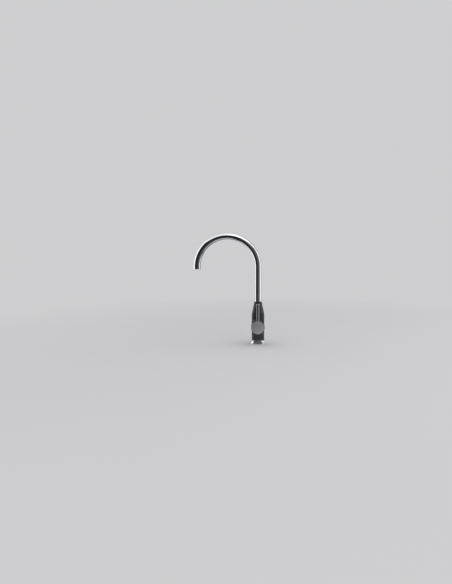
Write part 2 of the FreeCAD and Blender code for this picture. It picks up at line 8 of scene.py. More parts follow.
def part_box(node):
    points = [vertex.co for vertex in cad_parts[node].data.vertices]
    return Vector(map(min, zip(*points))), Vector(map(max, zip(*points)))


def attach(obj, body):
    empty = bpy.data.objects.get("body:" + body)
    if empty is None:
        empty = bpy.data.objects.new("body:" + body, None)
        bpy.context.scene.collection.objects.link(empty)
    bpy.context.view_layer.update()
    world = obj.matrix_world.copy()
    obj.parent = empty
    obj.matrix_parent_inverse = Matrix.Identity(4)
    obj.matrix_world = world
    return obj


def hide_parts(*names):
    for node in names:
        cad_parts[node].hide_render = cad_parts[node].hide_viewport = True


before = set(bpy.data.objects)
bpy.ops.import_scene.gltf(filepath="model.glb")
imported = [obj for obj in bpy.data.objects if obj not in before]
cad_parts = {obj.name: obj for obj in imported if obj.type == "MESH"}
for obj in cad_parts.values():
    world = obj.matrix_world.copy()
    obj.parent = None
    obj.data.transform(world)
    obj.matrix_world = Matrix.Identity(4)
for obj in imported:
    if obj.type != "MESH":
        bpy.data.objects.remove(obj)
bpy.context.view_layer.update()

bl_info = {
    "name": "Gooseneck tap",
    "version": (1, 0, 0),
    "blender": (4, 5, 0),
    "location": "3D View > Sidebar > Tap",
    "description": "Dresses a single-lever kitchen tap with a swivelling gooseneck spout",
    "category": "Object",
}

# Everything is in metres, in the tap's own frame: the origin is where the body's axis meets
# the worktop, +Z is up, the spout reaches towards -X and the hub faces -Y.
MM = 0.001

# Sizes that the boxes of the solids don't give
FIT_GAP = 0.1 * MM
TURNING_GAP = 0.08 * MM
SLEEVE_WALL = 0.47 * MM
FLANGE_THICKNESS = 1.0 * MM
LEVER_SEAT = 1.0 * MM
HUB_WALL = 1.5 * MM
LEVER_FOOT_RADIUS = 5.1 * MM
LEVER_STUD_RADIUS = 4.0 * MM
RING_BORE = 20.2 * MM
RING_TOP_RADIUS = 22.25 * MM
RING_LAND = 1.2 * MM
RING_HOLLOW = 0.45 * MM
RING_TOP_EDGE = 0.5 * MM
GASKET_WIDTH = 2.4 * MM
CUP_SETBACK = 0.4 * MM
CUP_WALL = 1.2 * MM
CUP_LIP = 1.0 * MM
SCREEN_RIM = 0.8 * MM
SHANK_BORE = 14.0 * MM
SHANK_CREST = 16.3 * MM
SHANK_TOP_RADIUS = 16.5 * MM
SPIGOT_FOOT = -12.0 * MM
WASHER_BORE = 17.4 * MM
SOCKET_SIZE = 2.5 * MM
SOCKET_DEPTH = 3.0 * MM
CATCH_TIP_RADIUS = 1.5 * MM
CATCH_SHOULDER = 12.1 * MM

# The screen's cells: the share of their pitch that is wall, and the length of their cutters
# for each metre of the screen's thickness
CELL_WALL_SHARE = 0.14
CELL_CUTTER_LENGTH = 1.4

# Shape of the thread's groove: its steepness, the flat crest beside it, and the share of its
# depth that is left at the thread's ends
GROOVE_SLOPE = 1.3
GROOVE_CREST = 0.15
LEAST_RUN_IN = 0.3

# Steps in a full turn
ROUND_STEPS = 128
TUBE_STEPS = 96
LEVER_STEPS = 96
THREAD_STEPS = 72
CYLINDER_STEPS = 64
SCREW_STEPS = 48
HEXAGON = 6

# Steps along the spout's bend, a bowed side, the lip, a rounded corner and a rounded edge,
# and rows in one pitch of the thread
BEND_STEPS = 90
BOW_STEPS = 14
LIP_STEPS = 6
CORNER_STEPS = 5
EDGE_STEPS = 2
THREAD_ROWS = 8

# Where two faces meet at more than the sharp angle, the edge between them stays one. Faces
# within the flat angle are one flat face, and corners within the merging distance one corner.
SHARP_ANGLE = math.radians(34)
FLAT_ANGLE = math.radians(0.2)
MERGE = 0.001 * MM
FULL_TURN = 2 * math.pi

# The image, and where the photograph shows the body's axis, the worktop at that axis and
# the eye's level, in pixels
IMAGE_WIDTH = 452
IMAGE_HEIGHT = 584
AXIS_COLUMN = 258
DECK_ROW = 343
EYE_ROW = 235

# The camera's place, and the width of its sensor in millimetres
CAMERA_DISTANCE = 1.9
CAMERA_X = 0.01
EYE_HEIGHT = 0.38
SENSOR_WIDTH = 36.0

# The floor, and the shares of its radius between which it fades into the surround
FLOOR_RADIUS = 4.0
FLOOR_STEPS = 96
FADE_START = 0.08
FADE_END = 0.35

# Cards round the tap that only its metal shows. Each is made by turning a line of (radius,
# height) corners from a first to a last angle, in degrees from +X. The last number is its
# grey, in which 1 is white.
FOOTED = ((0.2, 0.003), (0.5, 0.003), (0.5, 0.64))
WALL = ((0.5, 0.003), (0.5, 0.64))
LEVER_SCREEN = ((0.2, 0.05), (0.2, 0.115))
RING_SCREEN = ((0.1, 0.02), (0.1, 0.06))
CARD_STEPS = 24
CARDS = (
    ("front_card", -96, -25, FOOTED, 0.11),
    ("side_card", -170, -96, FOOTED, 0.012),
    ("back_card", 52, 128, FOOTED, 0.02),
    ("left_card", 130, 178, WALL, 1.35),
    ("lever_left_card", 100, 190, LEVER_SCREEN, 0.28),
    ("lever_right_card", -25, 80, LEVER_SCREEN, 0.20),
    ("ring_side_card", -170, -96, RING_SCREEN, 0.13),
    ("ring_right_card", -25, 80, RING_SCREEN, 0.22),
)

spout_low, spout_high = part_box("spout_tube")
tube_radius = spout_high.x
mouth_radius = spout_high.y
mouth_x = spout_low.x + mouth_radius
bend_radius = -mouth_x / 2
spring_height = spout_high.z - bend_radius - tube_radius
mouth_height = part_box("aerator_housing")[0].z - CUP_SETBACK

hub_low, hub_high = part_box("handle_hub")
hub_radius = hub_high.x
barrel_height = (hub_low.z + hub_high.z) / 2
lever_low, lever_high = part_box("lever")
lever_y = (lever_low.y + lever_high.y) / 2
lever_foot = hub_high.z - LEVER_SEAT
hub_front = -hub_low.y
hub_back = -2 * lever_y - hub_front

on_barrel = Matrix.Translation((0, 0, barrel_height)) @ Matrix.Rotation(math.pi / 2, 4, "X")
in_mouth = Matrix.Translation((mouth_x, 0, 0))

# Soft lamps: where each is, how wide and high it is, its power as a share of the key light's,
# and the height above the worktop that it faces
STRIP_HEIGHT = 0.75
LAMPS = (
    ("key_light", (1.1, -1.5, 1.5), (3.0, 2.8), 1.0, spring_height),
    ("right_strip", (1.7, 0.22, STRIP_HEIGHT), (0.74, 2.3), 0.37, STRIP_HEIGHT),
    ("left_strip", (-1.7, 0.81, STRIP_HEIGHT), (0.355, 2.3), 0.154, STRIP_HEIGHT),
    ("top_light", (-0.2, -0.2, 2.3), (3.8, 3.2), 1.35, spring_height),
)

# Places of the colour sockets on a Mix node
MIX_FACTOR, MIX_FIRST, MIX_SECOND, MIX_RESULT = 0, 6, 7, 2


def length(name, description, default):
    """Property for a size in metres."""
    return bpy.props.FloatProperty(
        name=name, description=description, default=default, min=0.0,
        precision=5, subtype="DISTANCE", unit="LENGTH",
    )


def colour(name, description, default):
    """Property for a colour."""
    return bpy.props.FloatVectorProperty(
        name=name, description=description, default=default, size=3,
        min=0.0, max=1.0, subtype="COLOR",
    )


class TapSizes(bpy.types.PropertyGroup):
    """Sizes that the solids leave to the dressing."""

    tube_wall: length("Tube wall", "Thickness of the spout's wall", 1.25 * MM)
    flare_angle: bpy.props.FloatProperty(
        name="Flare", description="Last part of the bend, in which the tube widens",
        default=math.radians(36), subtype="ANGLE", unit="ROTATION",
    )
    edge_round: length("Edge", "Rounding of a machined edge", 0.3 * MM)
    thread_pitch: length("Thread pitch", "Pitch of the shank's thread", 1.5 * MM)
    thread_depth: length("Thread depth", "Depth of the shank's thread", 0.8 * MM)
    cell_pitch: length("Cell pitch", "Spacing of the stream straightener's cells", 2.0 * MM)
    brush_pitch: length("Brush pitch", "Spacing of the hub's turned lines", 0.16 * MM)


class TapColours(bpy.types.PropertyGroup):
    """Colours of the finishes."""

    coat: colour("Coat", "Dark satin coat of the body", (0.046, 0.047, 0.050))
    chrome: colour("Chrome", "Polished chrome of the spout and lever", (0.80, 0.81, 0.83))
    hub: colour("Hub", "Brushed metal of the hub's face", (0.78, 0.78, 0.79))
    brass: colour("Brass", "Bare brass of the inner parts", (0.71, 0.50, 0.24))
    steel: colour("Steel", "Zinc-plated steel", (0.60, 0.60, 0.58))
    rubber: colour("Rubber", "Black sealing rubber", (0.022, 0.022, 0.023))
    plastic: colour("Plastic", "Moulded plastic of the cartridge", (0.62, 0.62, 0.58))
    ceramic: colour("Ceramic", "Ceramic of the two discs", (0.80, 0.77, 0.70))
    hot: colour("Hot", "Hot half of the index plug", (0.55, 0.03, 0.03))
    cold: colour("Cold", "Cold half of the index plug", (0.03, 0.10, 0.50))


class StageSettings(bpy.types.PropertyGroup):
    """Floor and light."""

    floor: colour("Floor", "Pale floor", (0.62, 0.62, 0.63))
    surround: colour("Surround", "Pale surround", (0.62, 0.62, 0.63))
    fill: bpy.props.FloatProperty(
        name="Fill", description="Strength of the light from all round", default=0.94, min=0.0
    )
    key: bpy.props.FloatProperty(
        name="Key", description="Power of the main soft light, in watts", default=14.0, min=0.0
    )


class Signal:
    """A shader socket that Python's operators work on."""

    def __init__(self, finish, socket):
        self.finish = finish
        self.socket = socket

    def join(self, operation, *values):
        """Result of a Math node on two values."""
        return self.finish.signal(
            "ShaderNodeMath", 0, {"operation": operation}, dict(enumerate(values))
        )

    def maximum(self, other):
        """The greater of two values."""
        return self.join("MAXIMUM", self, other)

    def __add__(self, other):
        return self.join("ADD", self, other)

    __radd__ = __add__

    def __mul__(self, other):
        return self.join("MULTIPLY", self, other)

    __rmul__ = __mul__

    def __sub__(self, other):
        return self.join("SUBTRACT", self, other)

    def __rsub__(self, other):
        return self.join("SUBTRACT", other, self)

    def __pow__(self, other):
        return self.join("POWER", self, other)

    def __rpow__(self, other):
        return self.join("POWER", other, self)

    def __gt__(self, other):
        return self.join("GREATER_THAN", self, other)

    def __lt__(self, other):
        return self.join("LESS_THAN", self, other)


class Finish:
    """A node-based material or world, and the calls that fill it."""

    def __init__(self, tree):
        self.tree = tree
        self.tree.nodes.clear()

    def node(self, kind, settings=None, sockets=None):
        """Add a node: first its settings, then its sockets' values or links. A ramp's stops
        are (place, grey) pairs."""
        node = self.tree.nodes.new(kind)
        for key, value in (settings or {}).items():
            if key == "stops":
                for element, (place, grey) in zip(node.color_ramp.elements, value):
                    element.position = place
                    element.color = (grey, grey, grey, 1.0)
            else:
                setattr(node, key, value)
        for key, value in (sockets or {}).items():
            if isinstance(value, Signal):
                self.tree.links.new(value.socket, node.inputs[key])
            else:
                node.inputs[key].default_value = value
        return node

    def signal(self, kind, output, settings=None, sockets=None):
        """Add a node and give one of its outputs."""
        return Signal(self, self.node(kind, settings, sockets).outputs[output])

    def place(self):
        """Position in the tap's frame, in metres."""
        return self.signal("ShaderNodeTexCoord", "Object")

    def axes(self):
        """The position's three numbers."""
        parts = self.node("ShaderNodeSeparateXYZ", sockets={"Vector": self.place()})
        return [Signal(self, socket) for socket in parts.outputs]

    def stretched(self, scale):
        """Position with a scale on each axis. A small one draws a pattern out along its axis."""
        return self.signal(
            "ShaderNodeMapping", "Vector", sockets={"Vector": self.place(), "Scale": scale}
        )

    def noise(self, scale, detail, place=None, roughness=0.5):
        """Noise between 0 and 1, with scale features to the metre."""
        return self.signal(
            "ShaderNodeTexNoise", 0, {"noise_dimensions": "3D"},
            {"Vector": place or self.place(), "Scale": scale, "Detail": detail,
             "Roughness": roughness},
        )

    def between(self, mask, low, high):
        """Number that goes from low to high with a mask."""
        return mask * (high - low) + low

    def rise(self, mask, start, end):
        """Mask that is 0 up to one level of another mask and 1 from a higher one."""
        stops = ((start, 0.0), (end, 1.0))
        return self.signal("ShaderNodeValToRGB", "Color", {"stops": stops}, {"Fac": mask})

    def blend(self, mask, first, second):
        """Colour between two colours or colour signals."""
        first, second = (
            tone if isinstance(tone, Signal) else (*tone, 1.0) for tone in (first, second)
        )
        return self.signal(
            "ShaderNodeMix", MIX_RESULT, {"data_type": "RGBA"},
            {MIX_FACTOR: mask, MIX_FIRST: first, MIX_SECOND: second},
        )

    def relief(self, height, depth, strength=1.0, under=None):
        """Bump whose full height is depth, in metres, over another bump."""
        sockets = {"Height": height, "Distance": depth, "Strength": strength}
        if under:
            sockets["Normal"] = under
        return self.signal("ShaderNodeBump", "Normal", sockets=sockets)

    def paint(self, **sockets):
        """Principled shader. A key's underscores stand for spaces."""
        named = {key.replace("_", " "): value for key, value in sockets.items()}
        return self.signal("ShaderNodeBsdfPrincipled", 0, sockets=named)

    def output(self, shader, kind="ShaderNodeOutputMaterial"):
        """Make a shader the material's own, or the world's."""
        self.node(kind, sockets={"Surface": shader})


def new_finish(name):
    """Empty material and the finish that fills it."""
    material = bpy.data.materials.new(name)
    material.use_nodes = True
    return material, Finish(material.node_tree)


def shade(tone, factor):
    """A colour made darker or lighter."""
    return tuple(min(1.0, part * factor) for part in tone)


def chrome_finish(name, tone):
    """Mirror plating with faint polishing haze and dried water film."""
    material, finish = new_finish(name)
    haze = finish.noise(scale=38, detail=4.0)
    film = finish.rise(finish.noise(scale=11, detail=5.0, roughness=0.6), start=0.46, end=0.70)
    polish = finish.noise(scale=2400, detail=2.0, place=finish.stretched(scale=(1, 1, 0.12)))
    ripple = finish.noise(scale=70, detail=2.0)
    film_tint, film_blur, polish_blur = 0.6, 0.045, 0.02
    blur = finish.between(haze, low=0.035, high=0.075) + film * film_blur + polish * polish_blur
    waves = finish.relief(ripple, depth=0.004 * MM)
    finish.output(finish.paint(
        Base_Color=finish.blend(film * film_tint, tone, shade(tone, factor=0.93)),
        Metallic=1.0,
        Roughness=blur,
        Normal=finish.relief(polish, depth=0.0006 * MM, under=waves),
    ))
    return material


def coat_finish(name, tone):
    """Baked satin coat: fine orange peel, soft mottling and a few rubbed patches."""
    material, finish = new_finish(name)
    mottle = finish.noise(scale=60, detail=5.0)
    rubbed = finish.rise(finish.noise(scale=22, detail=4.0, roughness=0.65), start=0.50, end=0.72)
    peel = finish.noise(scale=1300, detail=2.0)
    grain = finish.noise(scale=5200, detail=3.0)
    rubbed_tint, rubbed_polish, grain_blur = 0.35, 0.05, 0.04
    mottled = finish.blend(mottle, shade(tone, factor=0.86), shade(tone, factor=1.16))
    blur = finish.between(mottle, low=0.34, high=0.44)
    blur = blur - rubbed * rubbed_polish + grain * grain_blur
    dimples = finish.relief(peel, depth=0.004 * MM)
    finish.output(finish.paint(
        Base_Color=finish.blend(rubbed * rubbed_tint, mottled, shade(tone, factor=1.5)),
        Metallic=0.55,
        Roughness=blur,
        Coat_Weight=finish.between(mottle, low=0.10, high=0.22),
        Coat_Roughness=0.22,
        Normal=finish.relief(grain, depth=0.0015 * MM, under=dimples),
    ))
    return material


def hub_finish(name, tone, pitch):
    """Metal turned in a lathe: fine lines and broader bands round the hub's axis."""
    material, finish = new_finish(name)
    across, out, up = finish.axes()
    up = up - barrel_height
    radius = (across * across + up * up) ** 0.5

    def rings(count, wander):
        """Place for a noise: count rings to the metre, which change a little as they go round."""
        return finish.signal(
            "ShaderNodeCombineXYZ", "Vector",
            sockets={"X": (radius + out) * count, "Y": across * wander, "Z": up * wander},
        )

    band_share, band_tint, wiped_blur = 0.14, 0.6, 0.06
    narrow = rings(count=1 / pitch, wander=60)
    broad = rings(count=band_share / pitch, wander=25)
    lines = finish.noise(scale=1.0, detail=3.0, place=narrow, roughness=0.7)
    bands = finish.rise(finish.noise(scale=1.0, detail=2.0, place=broad), start=0.36, end=0.64)
    wiped = finish.noise(scale=35, detail=4.0)
    lined = finish.blend(lines, shade(tone, factor=0.66), shade(tone, factor=1.34))
    finish.output(finish.paint(
        Base_Color=finish.blend(bands * band_tint, lined, shade(tone, factor=0.62)),
        Metallic=0.82,
        Roughness=finish.between(lines, low=0.24, high=0.44) + wiped * wiped_blur,
        Normal=finish.relief(lines, depth=0.03 * MM),
    ))
    return material


def metal_finish(name, tone, roughness, spread, lines):
    """Machined metal with turning marks up and down and a dull, uneven film."""
    material, finish = new_finish(name)
    film = finish.noise(scale=45, detail=5.0, roughness=0.6)
    marks = finish.noise(scale=lines, detail=2.0, place=finish.stretched(scale=(0.02, 0.02, 1.0)))
    mark_blur = 0.08
    finish.output(finish.paint(
        Base_Color=finish.blend(film, shade(tone, factor=0.80), shade(tone, factor=1.12)),
        Metallic=1.0,
        Roughness=finish.between(film, roughness, roughness + spread) + marks * mark_blur,
        Normal=finish.relief(marks, depth=0.006 * MM, strength=0.7),
    ))
    return material


def moulded_finish(name, tone, roughness, spread, grain, depth):
    """Moulded plastic, rubber or fired ceramic: slight colour drift and a fine grain."""
    material, finish = new_finish(name)
    drift = finish.noise(scale=80, detail=4.0)
    fine = finish.noise(scale=grain, detail=3.0)
    finish.output(finish.paint(
        Base_Color=finish.blend(drift, shade(tone, factor=0.88), shade(tone, factor=1.08)),
        Roughness=finish.between(fine, roughness, roughness + spread),
        Normal=finish.relief(fine, depth),
    ))
    return material


def index_finish(name, hot, cold):
    """Plug with a hot half and a cold half, under faint pale specks."""
    material, finish = new_finish(name)
    across = finish.axes()[0]
    fine = finish.noise(scale=1800, detail=3.0)
    speck, speck_tint = (0.75, 0.75, 0.75), 0.15
    finish.output(finish.paint(
        Base_Color=finish.blend(fine * speck_tint, finish.blend(across > 0.0, hot, cold), speck),
        Roughness=finish.between(fine, low=0.32, high=0.46),
        Normal=finish.relief(fine, depth=0.003 * MM),
    ))
    return material


def finish_for(slot):
    """Material for one of the record's slots, made when it is first asked for."""
    name = "finished_" + slot
    ready = bpy.data.materials.get(name)
    if ready:
        return ready
    colours = bpy.context.scene.tap_colours
    sizes = bpy.context.scene.tap_sizes
    looks = {
        "polished_chrome": (chrome_finish, dict(tone=colours.chrome)),
        "dark_satin_coat": (coat_finish, dict(tone=colours.coat)),
        "brushed_hub": (hub_finish, dict(tone=colours.hub, pitch=sizes.brush_pitch)),
        "brass": (metal_finish, dict(
            tone=colours.brass, roughness=0.22, spread=0.14, lines=5000)),
        "steel": (metal_finish, dict(
            tone=colours.steel, roughness=0.30, spread=0.14, lines=4200)),
        "black_rubber": (moulded_finish, dict(
            tone=colours.rubber, roughness=0.62, spread=0.22, grain=2600, depth=0.012 * MM)),
        "slide_plastic": (moulded_finish, dict(
            tone=shade(colours.rubber, factor=1.6), roughness=0.40, spread=0.14, grain=2200,
            depth=0.004 * MM)),
        "cartridge_plastic": (moulded_finish, dict(
            tone=colours.plastic, roughness=0.42, spread=0.14, grain=1800, depth=0.006 * MM)),
        "disc_ceramic": (moulded_finish, dict(
            tone=colours.ceramic, roughness=0.10, spread=0.10, grain=3800, depth=0.002 * MM)),
        "index_plastic": (index_finish, dict(hot=colours.hot, cold=colours.cold)),
    }
    make, look = looks[slot]
    return make(name, **look)


def bowed(start, end, depth):
    """Points along a shallow curve that leaves its chord by depth to the left."""
    start, end = Vector(start), Vector(end)
    aside = (end - start).orthogonal().normalized() * depth
    places = (step / BOW_STEPS for step in range(BOW_STEPS + 1))
    return [tuple(start.lerp(end, t) + aside * 4 * t * (1 - t)) for t in places]


def rounded(outline):
    """Outline in which each corner with a third value is rounded to that radius."""
    points = []
    for index, corner in enumerate(outline):
        here = Vector(corner[:2])
        if len(corner) == 2:
            points.append(tuple(here))
            continue
        radius = corner[2]
        before = (Vector(outline[index - 1][:2]) - here).normalized()
        after = (Vector(outline[(index + 1) % len(outline)][:2]) - here).normalized()
        half = before.angle(after) / 2
        centre = here + (before + after).normalized() * (radius / math.sin(half))
        start = here + before * (radius / math.tan(half)) - centre
        end = here + after * (radius / math.tan(half)) - centre
        for step in range(CORNER_STEPS + 1):
            spoke = start.normalized().slerp(end.normalized(), step / CORNER_STEPS)
            points.append(tuple(centre + spoke * radius))
    return points


def spun(line, closed=False, start=0.0, angle=FULL_TURN, steps=ROUND_STEPS):
    """Mesh made by turning a line of (radius, height) corners about the Z axis."""
    mesh = bmesh.new()
    turn = Matrix.Rotation(start, 4, "Z")
    verts = [mesh.verts.new(turn @ Vector((radius, 0, height))) for radius, height in line]
    ends = verts[1:] + (verts[:1] if closed else [])
    edges = [mesh.edges.new(pair) for pair in zip(verts, ends)]
    bmesh.ops.spin(
        mesh, geom=verts + edges, cent=(0, 0, 0), axis=(0, 0, 1), dvec=(0, 0, 0), angle=angle,
        steps=steps, use_merge=angle == FULL_TURN, use_normal_flip=False, use_duplicate=False,
    )
    return mesh


def turned(outline, closed=True, steps=ROUND_STEPS):
    """Solid turned from an outline. One that starts and ends on the axis isn't closed."""
    mesh = spun(rounded(outline), closed, steps=steps)
    bmesh.ops.remove_doubles(mesh, verts=mesh.verts, dist=MERGE)
    bmesh.ops.recalc_face_normals(mesh, faces=mesh.faces)
    return mesh


def moved(mesh, matrix):
    """The same mesh, put in its place."""
    bmesh.ops.transform(mesh, matrix=matrix, verts=mesh.verts)
    return mesh


def merged_copy(node, edge_round):
    """Copy of a CAD node's mesh with its triangles joined, flat faces made whole and sharp
    edges rounded."""
    mesh = bmesh.new()
    mesh.from_mesh(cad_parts[node].data)
    bmesh.ops.remove_doubles(mesh, verts=mesh.verts, dist=MERGE)
    if edge_round:
        bmesh.ops.dissolve_limit(
            mesh, angle_limit=FLAT_ANGLE, verts=mesh.verts, edges=mesh.edges,
            use_dissolve_boundaries=False,
        )
        sharp = [
            edge for edge in mesh.edges
            if edge.is_manifold and edge.calc_face_angle() > SHARP_ANGLE
        ]
        bmesh.ops.bevel(
            mesh, geom=sharp, offset=edge_round, offset_type="OFFSET", segments=EDGE_STEPS,
            profile=0.5, affect="EDGES", material=-1, clamp_overlap=True,
        )
    return mesh


def linked(name, data):
    """Object with its data, put into the scene."""
    made = bpy.data.objects.new(name, data)
    bpy.context.scene.collection.objects.link(made)
    return made


def mesh_object(name, mesh, material=None):
    """Object made of a mesh, which is used up."""
    data = bpy.data.meshes.new(name)
    mesh.to_mesh(data)
    mesh.free()
    if material:
        data.materials.append(material)
    return linked(name, data)


def piece(name, mesh, body, slot, node, weighted=True):
    """Dressed piece, smooth but for its sharp edges, that rides on a body and takes the place
    of a CAD node."""
    for edge in mesh.edges:
        edge.smooth = not edge.is_manifold or edge.calc_face_angle() < SHARP_ANGLE
    for face in mesh.faces:
        face.smooth = True
    made = mesh_object(name, mesh, finish_for(slot))
    if weighted:
        normals = made.modifiers.new("flat_faces", "WEIGHTED_NORMAL")
        normals.keep_sharp = True
    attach(made, body)
    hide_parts(node)


def cut(mesh, *cutters, operation="DIFFERENCE"):
    """Mesh after booleans with the cutters' meshes, all of which are used up."""
    helpers = [mesh_object("helper", part) for part in (mesh, *cutters)]
    for cutter in helpers[1:]:
        boolean = helpers[0].modifiers.new("cut", "BOOLEAN")
        boolean.operation = operation
        boolean.solver = "EXACT"
        boolean.object = cutter
    result = bmesh.new()
    result.from_object(helpers[0], bpy.context.evaluated_depsgraph_get())
    for helper in helpers:
        bpy.data.meshes.remove(helper.data)
    bmesh.ops.remove_doubles(result, verts=result.verts, dist=MERGE)
    return result


def cylinder(radius, start, end, steps=CYLINDER_STEPS):
    """Closed cylinder mesh between two points."""
    way = end - start
    turn = way.to_track_quat("Z", "Y").to_matrix().to_4x4()
    mesh = bmesh.new()
    bmesh.ops.create_cone(
        mesh, cap_ends=True, segments=steps, radius1=radius, radius2=radius,
        depth=way.length, matrix=Matrix.Translation((start + end) / 2) @ turn,
    )
    return mesh


def station(centre, heading, radius):
    """Matrix that puts a unit circle at a centre, square to a heading in the XZ plane."""
    across = Vector((0, 1, 0)).cross(heading)
    turn = Matrix((across, (0, 1, 0), heading)).transposed().to_4x4()
    return Matrix.Translation(centre) @ turn @ Matrix.Diagonal((radius, radius, 1, 1))


def follow(stations):
    """Closed skin swept through a ring of stations, each of which places and sizes a circle."""
    mesh = bmesh.new()
    verts = bmesh.ops.create_circle(
        mesh, cap_ends=False, segments=TUBE_STEPS, radius=1.0, matrix=stations[0]
    )["verts"]
    first = edges = list({edge for vert in verts for edge in vert.link_edges})
    for before, after in zip(stations, stations[1:]):
        grown = bmesh.ops.extrude_edge_only(mesh, edges=edges)["geom"]
        verts = [part for part in grown if isinstance(part, bmesh.types.BMVert)]
        known = set(verts)
        edges = [
            part for part in grown
            if isinstance(part, bmesh.types.BMEdge) and all(vert in known for vert in part.verts)
        ]
        bmesh.ops.transform(mesh, matrix=after @ before.inverted(), verts=verts)
    bmesh.ops.bridge_loops(mesh, edges=first + edges)
    bmesh.ops.recalc_face_normals(mesh, faces=mesh.faces)
    return mesh


def centreline(flare_angle, inset):
    """Stations from the spout's foot to the last ring before its lip, inset from the outside."""
    up = Vector((0, 0, 1))
    places = [station(up * spout_low.z, up, tube_radius - inset)]
    widening = mouth_radius - tube_radius
    for step in range(BEND_STEPS + 1):
        turn = math.pi * step / BEND_STEPS
        share = max(0.0, (turn - math.pi + flare_angle) / flare_angle)
        centre = Vector((math.cos(turn) - 1, 0, math.sin(turn))) * bend_radius
        heading = Vector((-math.sin(turn), 0, math.cos(turn)))
        radius = tube_radius + widening * share - inset
        places.append(station(centre + up * spring_height, heading, radius))
    return places


class TAP_OT_spout(bpy.types.Operator):
    """Make the polished gooseneck tube, its rounded lip and the ring it turns in"""

    bl_idname = "tap.spout"
    bl_label = "Spout"

    def execute(self, context):
        sizes = context.scene.tap_sizes
        skin = spout_skin(sizes)
        piece("spout_skin", skin, "spout", "polished_chrome", "spout_tube", weighted=False)
        piece("neck_ring", neck_ring(sizes), "tap", "slide_plastic", "neck_glide_ring")
        return {"FINISHED"}


def spout_skin(sizes):
    """Bent tube, outside and inside, joined round its lip and at its foot."""
    wall = sizes.tube_wall
    lip = wall / 2
    around = []
    for step in range(LIP_STEPS + 1):
        turn = math.pi * step / LIP_STEPS
        centre = Vector((mouth_x, 0, mouth_height + lip - lip * math.sin(turn)))
        radius = mouth_radius - lip + lip * math.cos(turn)
        around.append(station(centre, Vector((0, 0, -1)), radius))
    outside = centreline(sizes.flare_angle, 0.0)
    inside = centreline(sizes.flare_angle, wall)
    return follow(outside + around + inside[::-1])


def neck_ring(sizes):
    """Flanged sleeve that lines the body's mouth."""
    low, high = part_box("neck_glide_ring")
    bore = tube_radius + TURNING_GAP
    sleeve = bore + SLEEVE_WALL
    flange = high.z - FLANGE_THICKNESS
    edge = sizes.edge_round
    return turned((
        (bore, low.z), (sleeve, low.z), (sleeve, flange), (high.x, flange, edge / 2),
        (high.x, high.z, edge), (bore, high.z),
    ))


class TAP_OT_body(bpy.types.Operator):
    """Make the waisted body with its barrel, and the domed cover behind the hub"""

    bl_idname = "tap.body"
    bl_label = "Body"

    def execute(self, context):
        edge = context.scene.tap_sizes.edge_round
        for name, node in (("body_casting", "tap_body"), ("dome_cover", "bonnet")):
            piece(name, merged_copy(node, edge), "tap", "dark_satin_coat", node)
        return {"FINISHED"}


class TAP_OT_foot(bpy.types.Operator):
    """Make the bright ring under the body"""

    bl_idname = "tap.foot"
    bl_label = "Foot ring"

    def execute(self, context):
        ring = foot_ring(context.scene.tap_sizes)
        piece("foot_ring", ring, "tap", "polished_chrome", "base_ring")
        return {"FINISHED"}


def foot_ring(sizes):
    """Ring with a hollow side, and a groove below for its gasket."""
    low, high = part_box("base_ring")
    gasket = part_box("deck_gasket")[1]
    groove = gasket.x - GASKET_WIDTH
    edge = sizes.edge_round
    return turned((
        (RING_BORE, low.z), (groove, low.z), (groove, gasket.z), (gasket.x, gasket.z),
        (gasket.x, low.z), (high.x, low.z, edge),
        *bowed((high.x, RING_LAND), (RING_TOP_RADIUS, high.z - RING_TOP_EDGE), RING_HOLLOW),
        (RING_TOP_RADIUS, high.z, edge), (RING_BORE, high.z),
    ))


class TAP_OT_handle(bpy.types.Operator):
    """Make the round hub, its brushed face disc and the upright lever"""

    bl_idname = "tap.handle"
    bl_label = "Hub and lever"

    def execute(self, context):
        sizes = context.scene.tap_sizes
        piece("hub_shell", hub_shell(sizes), "handle", "dark_satin_coat", "handle_hub")
        piece("brushed_face", hub_face(sizes), "handle", "brushed_hub", "face_disc")
        piece("lever_rod", lever_rod(sizes), "handle", "polished_chrome", "lever")
        return {"FINISHED"}


def hub_shell(sizes):
    """Hub with a skirt behind, a recess for its face disc, the lever's seat on top and the
    plug's hole below."""
    plug_low, plug_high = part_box("index_plug")
    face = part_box("face_disc")[1]
    recess = face.x + FIT_GAP
    floor = -face.y
    skirt = -hub_high.y
    bore = hub_radius - HUB_WALL
    edge = sizes.edge_round
    hub = turned(
        (
            (0, hub_back), (bore, hub_back), (bore, skirt, edge), (hub_radius, skirt, edge),
            (hub_radius, hub_front, edge), (recess, hub_front, edge / 2), (recess, floor),
            (0, floor),
        ),
        closed=False,
    )
    seat_floor = Vector((0, lever_y, lever_foot))
    seat_top = Vector((0, lever_y, lever_high.z))
    seat = cylinder(LEVER_FOOT_RADIUS + FIT_GAP, seat_floor, seat_top)
    plug_y = (plug_low.y + plug_high.y) / 2
    below = Vector((0, plug_y, plug_low.z - HUB_WALL))
    inside = Vector((0, plug_y, plug_high.z + FIT_GAP))
    hole = cylinder(plug_high.x + FIT_GAP / 2, below, inside)
    return cut(moved(hub, on_barrel), seat, hole)


def hub_face(sizes):
    """Thin disc let into the hub's front."""
    low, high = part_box("face_disc")
    disc = turned(
        ((0, -high.y), (high.x, -high.y), (high.x, -low.y, sizes.edge_round), (0, -low.y)),
        closed=False,
    )
    return moved(disc, on_barrel)


def lever_rod(sizes):
    """Rod that widens slightly to its flat end, on a stud in the hub."""
    edge = sizes.edge_round
    rod = turned(
        (
            (0, lever_low.z), (LEVER_STUD_RADIUS, lever_low.z, edge),
            (LEVER_STUD_RADIUS, lever_foot), (LEVER_FOOT_RADIUS, lever_foot, edge / 2),
            (lever_high.x, lever_high.z, 2 * edge), (0, lever_high.z),
        ),
        closed=False, steps=LEVER_STEPS,
    )
    return moved(rod, Matrix.Translation((0, lever_y, 0)))


